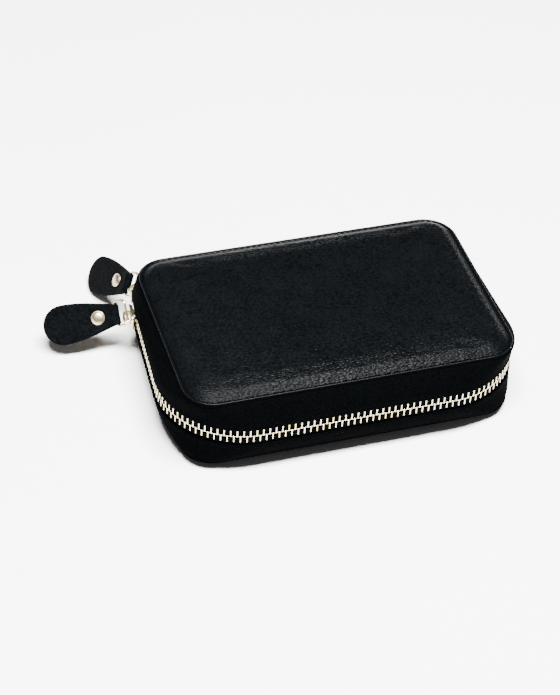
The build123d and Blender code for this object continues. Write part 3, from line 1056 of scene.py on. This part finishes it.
def sweep(path, across, section, closed=False):
    """A section of (sideways, across) pairs carried along a flat path: points and faces."""
    path, across = np.asarray(path, float), np.asarray(across, float)
    if closed:
        ahead = np.roll(path, -1, axis=0) - np.roll(path, 1, axis=0)
    else:
        ahead = np.gradient(path, axis=0)
    ahead /= np.linalg.norm(ahead, axis=1, keepdims=True)
    side = np.cross(across, ahead)
    points = np.vstack([p + np.outer(section[:, 0], n) + np.outer(section[:, 1], across)
                        for p, n in zip(path, side)])
    count = len(section)
    faces = skin_faces(len(path), count, loop=closed)
    return points, faces if closed else faces + cap_faces(len(path), count)


def lathe(profile, turns=40):
    """A turned shape from (radius, height) pairs that start and end near the axis."""
    angles = np.linspace(0, 2 * math.pi, turns, endpoint=False)
    ring = np.column_stack([np.cos(angles), np.sin(angles), np.ones(turns)])
    return solid([ring * (r, r, z) for r, z in profile])


def slider_parts(wide):
    """A slider's plates, flanges, web and crown; x runs to the zip's left, z out of the case."""
    swap = np.array([-wide, 1, 1])
    parts = []
    for side in (1, -1):
        low, high = sorted(side * z for z in PLATE_Z)
        points, faces = slab(*PLATE_HALF, PLATE_CORNER, low, high, PLATE_EDGE, PLATE_TAPER)
        parts.append((points * swap, faces))
    for side in (1, -1):
        top = PLATE_Z[0] + FLANGE_SEAT
        points, faces = slab(FLANGE_HALF_L, FLANGE_HALF_W, FLANGE_CORNER, FLANGE_Z, top, FLANGE_EDGE)
        parts.append((points + (0, side * (PLATE_HALF[1] - FLANGE_HALF_W - FLANGE_STEP), 0), faces))
    web_x = wide * (PLATE_HALF[0] - PLATE_Z[1] + PLATE_Z[0] - WEB_HALF[0])
    for low, high in ((WEB_Z, PLATE_Z[0] + WEB_SEAT), (-PLATE_Z[0] - WEB_SEAT, -WEB_Z)):
        points, faces = slab(*WEB_HALF, WEB_CORNER, low, high, WEB_EDGE)
        parts.append((points + (web_x, 0, 0), faces))
    section = rounded_rectangle(CROWN_HALF_T, CROWN_HALF_W, CROWN_CORNER)
    path = [(x, 0, z) for x, z in CROWN_PATH]
    parts.append(sweep(path, (0, 1, 0), section))
    return parts


def puller_place(key):
    """4x4 on the tab's fold: x to the tab's round end, z out of its face."""
    x = Vector(PULLERS[key]["along"]).normalized()
    z = Vector(PULLERS[key]["face"])
    z = (z - x * x.dot(z)).normalized()
    place = Matrix((x, z.cross(x), z)).transposed().to_4x4()
    place.translation = Vector(joint_point(f"tab_{key}_swing"))
    return place


def bail_mesh(key):
    """The wire loop between the slider's crown and the tab's fold."""
    inner, outer = joint_point(f"bail_{key}_swing"), joint_point(f"tab_{key}_swing")
    reach = outer - inner
    length = np.linalg.norm(reach)
    bar = np.array(puller_place(key).col[1][:3])
    flat = rounded_rectangle(length / 2, BAIL_HALF_W, BAIL_CORNER, steps=7)
    dense = []
    for a, b in zip(flat, np.roll(flat, -1, axis=0)):
        count = max(1, int(np.hypot(*(b - a)) / 0.8))
        dense += [mix(a, b, k / count) for k in range(count)]
    middle, reach = (inner + outer) / 2, reach / length
    path = [middle + reach * a + bar * b for a, b in dense]
    angles = np.linspace(0, 2 * math.pi, 12, endpoint=False)
    circle = np.column_stack([np.cos(angles), np.sin(angles)]) * WIRE_R
    return sweep(path, np.cross(reach, bar), circle, closed=True)


def tab_half_width(x):
    """Half the tab's width at a distance from its fold."""
    swell = TAB_LENGTH - TAB_END_R
    if x > swell:
        return math.sqrt(max(0.0, TAB_END_R**2 - (x - swell) ** 2))
    pull, near = TAB_PULL * swell, TAB_EASE * swell
    t = np.linspace(0, 1, 60)
    weights = (1 - t) ** 3, 3 * t * (1 - t) ** 2, 3 * t**2 * (1 - t), t**3
    xs = weights[1] * pull + weights[2] * near + weights[3] * swell
    flared = TAB_NECK + TAB_FLARE * pull
    ys = weights[0] * TAB_NECK + weights[1] * flared + (weights[2] + weights[3]) * TAB_END_R
    return float(np.interp(x, xs, ys))


def tab_mesh():
    """Two leather layers, one strip folded round the bail, as points and faces about the fold."""
    swell = TAB_LENGTH - TAB_END_R
    turn = np.linspace(0, math.pi / 2, 11)
    legs = np.concatenate([np.linspace(0.0, swell, 20)[:-1], swell + (TAB_END_R - 0.02) * np.sin(turn)])
    stations = [(x, 1.0, x) for x in legs[::-1]]
    stations += [(0.0, math.cos(a), -math.sin(a)) for a in np.linspace(0, math.pi, 11)[1:-1]]
    stations += [(x, -1.0, x) for x in legs]
    across = np.sin(np.linspace(-1, 1, 25) * math.pi / 2)
    rings = []
    for x, up, run in stations:
        half = tab_half_width(x)
        mid = mix(FOLD_MID_R, TAB_HALF_T - TAB_LAYER_T / 2, ease(x / FOLD_RUN))
        flat = abs(up) == 1.0
        normal = np.array([0.0 if flat else run, 0.0, up])
        centre = np.array([run, 0.0, mid * up] if flat else [run * FOLD_MID_R, 0.0, FOLD_MID_R * up])
        y = across * half
        reach = np.hypot(np.maximum(x - swell, 0), y)
        room = TAB_END_R - reach if x > swell else half - np.abs(y)
        depth = TAB_LAYER_T / 2 * np.sqrt(1 - (1 - np.clip(room / TAB_EDGE_R, 0.02, 1)) ** 2)
        dent = DIMPLE * np.exp(-(((x - RIVET_AT) ** 2 + y**2) / DIMPLE_REACH**2) ** 2) * flat
        base = centre + np.outer(y, (0, 1, 0))
        outer = base + np.outer(depth - dent, normal)
        inner = base - np.outer(depth, normal)
        rings.append(np.vstack([outer, inner[::-1]]))
    return solid(rings)


def rivet_parts():
    """The domed head on the tab's face and its cap behind."""
    head = [(0.05, -0.3), (3.3, -0.3), (3.6, -0.05), (RIVET_R, 0.12), (3.66, 0.28), (3.45, 0.38),
            (3.22, 0.36), (3.1, 0.3), (2.98, 0.36), (2.8, 0.58), (2.4, 0.8), (1.8, 0.96), (1.0, 1.07),
            (0.05, 1.1)]
    cap = [(0.05, 0.2), (2.9, 0.2), (3.15, 0.0), (3.2, -0.2), (3.0, -0.45), (2.4, -0.57), (0.05, -0.6)]
    parts = []
    for profile, side in ((head, 1), (cap, -1)):
        points, faces = lathe(profile)
        parts.append((points + (RIVET_AT, 0, side * TAB_HALF_T), faces))
    return parts


def placed_piece(name, parts, place):
    """One object from parts moved by a 4x4."""
    return fix_normals(join_meshes(name, [(placed(points, place), faces) for points, faces in parts]))


def make_pullers():
    """Both sliders with their bails, tabs and rivets."""
    for key, puller in PULLERS.items():
        body = placed_piece(f"slider_{key}_metal", slider_parts(puller["wide"]), zip_frame(puller["at"]))
        finish_piece(body, f"slider_{key}", ZIP_METAL, (f"slider_{key}_body",))
        bail = fix_normals(join_meshes(f"bail_{key}_wire", [bail_mesh(key)]))
        finish_piece(bail, f"bail_{key}", ZIP_METAL, (f"slider_{key}_bail",))
        place = puller_place(key)
        tab = placed_piece(f"tab_{key}_leather", [tab_mesh()], place)
        finish_piece(tab, f"tab_{key}", TAB_LEATHER, (f"slider_{key}_tab",))
        rivet = placed_piece(f"tab_{key}_rivet_head", rivet_parts(), place)
        finish_piece(rivet, f"tab_{key}", RIVET_METAL, (f"slider_{key}_rivet",))


make_pullers()

# ---- interior ----
CHANNELS = 6
CHANNEL_PITCH = 17.0
ARCH_HALF = 7.9
ARCH_RISE = 13.2
BAND_T = 0.9
BAND_EDGE = 0.45
BAND_EDGE_RUN = 1.2
ARCH_LIFT = 0.05
LOOPS_SPAN = (27.0, 49.0)
POCKET_SPAN = (-74.0, -40.0)
POCKET_RISE_RUN = 9.0
BOARD_INSET = 3.2
FLOOR_INSET = 0.9
BOARD_T = 1.2
FLOOR_WAVE = 0.12
FLOOR_WAVE_RUN = 30.0
FLOOR_STILL = 3.0
FLOOR_DROP = 0.08
PAGE_LO, PAGE_HI = node_box("divider_binding")
PAGE_R = 20.0
BINDING_W = 4.0
BINDING_HALF_T = 0.97
PAGE_LAP = 0.6
PAGE_HALF_T = 0.6


def channel_row(name, half, span, rise_run, stations=14):
    """Cloth arched over a row of six pens and sewn down between them."""
    theta = np.linspace(math.pi, 0, 19)
    rings = []
    for x in np.linspace(*span, stations):
        rise = float(ease((x - span[0]) / rise_run)) if rise_run else 1.0
        edge = min(x - span[0], span[1] - x)
        thin = mix(BAND_EDGE, 1.0, min(1.0, edge / BAND_EDGE_RUN)) * BAND_T
        outer, inner = [], []
        for k in range(CHANNELS):
            centre = (k - (CHANNELS - 1) / 2) * CHANNEL_PITCH
            c, s = np.cos(theta), np.sin(theta)
            y = np.sign(c) * np.abs(c) ** 0.5
            z = np.maximum(s, 0) ** 0.6 * rise
            outer += list(zip(centre + ARCH_HALF * y, FLOOR_Z + ARCH_LIFT + thin + ARCH_RISE * z))
            inner += list(zip(centre + (ARCH_HALF - BAND_T) * y, FLOOR_Z + ARCH_LIFT + ARCH_RISE * z))
        rings.append(np.array([(x, y, z) for y, z in outer + inner[::-1]]))
    return half_piece(name, half, rings)


def sewn_valleys(name, half, span):
    """Stitches down the cloth between the pens."""
    rows = []
    up = (0, 0, -1) if half == "lid" else (0, 0, 1)
    for k in range(1, CHANNELS):
        y = (k - CHANNELS / 2) * CHANNEL_PITCH
        z = FLOOR_Z + ARCH_LIFT + BAND_T
        line = for_half(np.array([(span[0] + 1, y, z), (span[1] - 1, y, z)]), half)
        points, directions = walk(line, 2.6, closed=False)
        rows += [bead_mesh(p, d, np.array(up), 2.0, 0.5, 0.4) for p, d in zip(points, directions)]
    return join_meshes(f"{half}_{name}", rows)


def floor_lining(half):
    """The cloth over each half's board, with slow waves."""
    nx, ny = 60, 40
    grid = panel_grid(FLOOR_INSET, nx, ny).reshape(-1, 2)
    room = np.clip((edge_distance(grid) - FLOOR_INSET) / FLOOR_STILL, 0, 1)
    level = np.column_stack([grid, np.zeros(len(grid))])
    waves = FLOOR_WAVE * smooth_noise(level, FLOOR_WAVE_RUN, 5)
    top = np.column_stack([grid, FLOOR_Z + waves * room - FLOOR_DROP])
    bottom = np.column_stack([grid, np.full(len(grid), EDGE_Z + 0.04)])
    return closed_sheet(f"{half}_floor_cloth", top, bottom, nx, ny, half)


def page_ring(inset, z):
    """The divider's outline at an inset and height."""
    half = (PAGE_HI - PAGE_LO)[:2] / 2 - inset
    middle = (PAGE_HI + PAGE_LO)[:2] / 2
    flat = rounded_rectangle(half[0], half[1], PAGE_R - inset, steps=14)
    return np.column_stack([flat + middle, np.full(len(flat), z)])


def page_mesh():
    """The divider's cloth page."""
    rings = [page_ring(BINDING_W - PAGE_LAP, ZIP_Z + side * PAGE_HALF_T) for side in (-1, 1)]
    middle = rings[0].mean(axis=0) * (1, 1, 0)
    shrink = np.array([1.0, 0.85, 0.6, 0.35, 0.12])
    low = [(rings[0] - middle) * (s, s, 1) + middle for s in shrink[::-1]]
    high = [(rings[1] - middle) * (s, s, 1) + middle for s in shrink]
    return fix_normals(skin("divider_cloth", low + high))


def binding_mesh():
    """The bound edge round the divider."""
    side = [(BINDING_W, 0.45), (BINDING_W - 0.1, 0.82), (BINDING_W - 0.5, BINDING_HALF_T),
            (1.0, BINDING_HALF_T), (0.4, 0.85), (0.08, 0.5)]
    section = side + [(0.0, 0.0)] + [(inset, -z) for inset, z in side[::-1]]
    return fix_normals(skin("divider_edge", [page_ring(i, ZIP_Z + z) for i, z in section], loop=True))


def stiffener(half):
    """The board under each cover's padding, hidden between it and the lining."""
    nx, ny = 24, 16
    grid = panel_grid(BOARD_INSET, nx, ny).reshape(-1, 2)
    top = np.column_stack([grid, np.full(len(grid), EDGE_Z - BOARD_T)])
    bottom = np.column_stack([grid, np.full(len(grid), EDGE_Z - 0.1)])
    return closed_sheet(f"{half}_stiffener", top, bottom, nx, ny, half)


def make_interior():
    """Boards, linings and pen rows in both halves, and the divider between them."""
    for half in ("base", "lid"):
        finish_piece(stiffener(half), half, GREYBOARD, (f"{half}_board",))
        finish_piece(floor_lining(half), half, LINING, (f"{half}_lining",))
        loops = channel_row("elastic_loops", half, LOOPS_SPAN, 0.0)
        finish_piece(loops, half, ELASTIC, (f"{half}_pen_loops",))
        pocket = channel_row("pocket_cloth", half, POCKET_SPAN, POCKET_RISE_RUN, 20)
        finish_piece(pocket, half, LINING, (f"{half}_nib_pocket",))
        for name, span in (("loop_stitches", LOOPS_SPAN), ("pocket_stitches", POCKET_SPAN)):
            finish_piece(sewn_valleys(name, half, span), half, THREAD)
    finish_piece(page_mesh(), "divider", LINING, ("divider_page",))
    finish_piece(binding_mesh(), "divider", EDGE, ("divider_binding",))
    for side in (1, -1):
        line = page_ring(BINDING_W * 0.65, ZIP_Z + side * BINDING_HALF_T)
        name = "divider_stitches_over" if side > 0 else "divider_stitches_under"
        row = stitch_row(name, line, (0, 0, side), 3.0, 2.2, 0.45, 0.3)
        finish_piece(row, "divider", THREAD)


make_interior()

# ---- carried-over CAD nodes ----
for stop in ("base_zip_stops", "lid_zip_stop"):
    frame["nodes"][stop].data.materials.clear()
    frame["nodes"][stop].data.materials.append(ZIP_METAL)

# ---- stage ----
STAGE_HALF = 3000


def make_stage():
    """A plain pale floor."""
    corners = [(x * STAGE_HALF, y * STAGE_HALF, 0) for x, y in ((-1, -1), (1, -1), (1, 1), (-1, 1))]
    floor = make_object("floor", corners, [(0, 1, 2, 3)], smooth=False)
    s = Surface("floor")
    cloud = s.noise(s.where, 2.0, 2.0)
    s.set(Base_Color=s.ramp(cloud, [(0.3, (0.92, 0.92, 0.92)), (0.7, (0.95, 0.95, 0.95))]))
    s.set(Roughness=0.9, Specular_IOR_Level=0.05)
    floor.data.materials.append(s.material)


def area_light(name, location, target, size, power):
    """A rectangular softbox aimed at a point; lengths in metres."""
    data = bpy.data.lights.new(name, "AREA")
    data.shape = "RECTANGLE"
    data.size, data.size_y = size
    data.energy = power
    lamp = bpy.data.objects.new(name, data)
    bpy.context.collection.objects.link(lamp)
    aim = Vector(target) - Vector(location)
    lamp.matrix_world = Matrix.Translation(location) @ aim.to_track_quat("-Z", "Y").to_matrix().to_4x4()


def make_lights():
    """One long softbox overhead and a dim even surround."""
    world = bpy.data.worlds.new("surround")
    bpy.context.scene.world = world
    world.use_nodes = True
    back = world.node_tree.nodes["Background"]
    back.inputs["Color"].default_value = (1.0, 1.0, 1.0, 1.0)
    back.inputs["Strength"].default_value = 0.12
    area_light("softbox", (0.0, -0.3, 1.5), (0, 0, 0), (1.0, 0.35), 220.0)


make_stage()
make_lights()
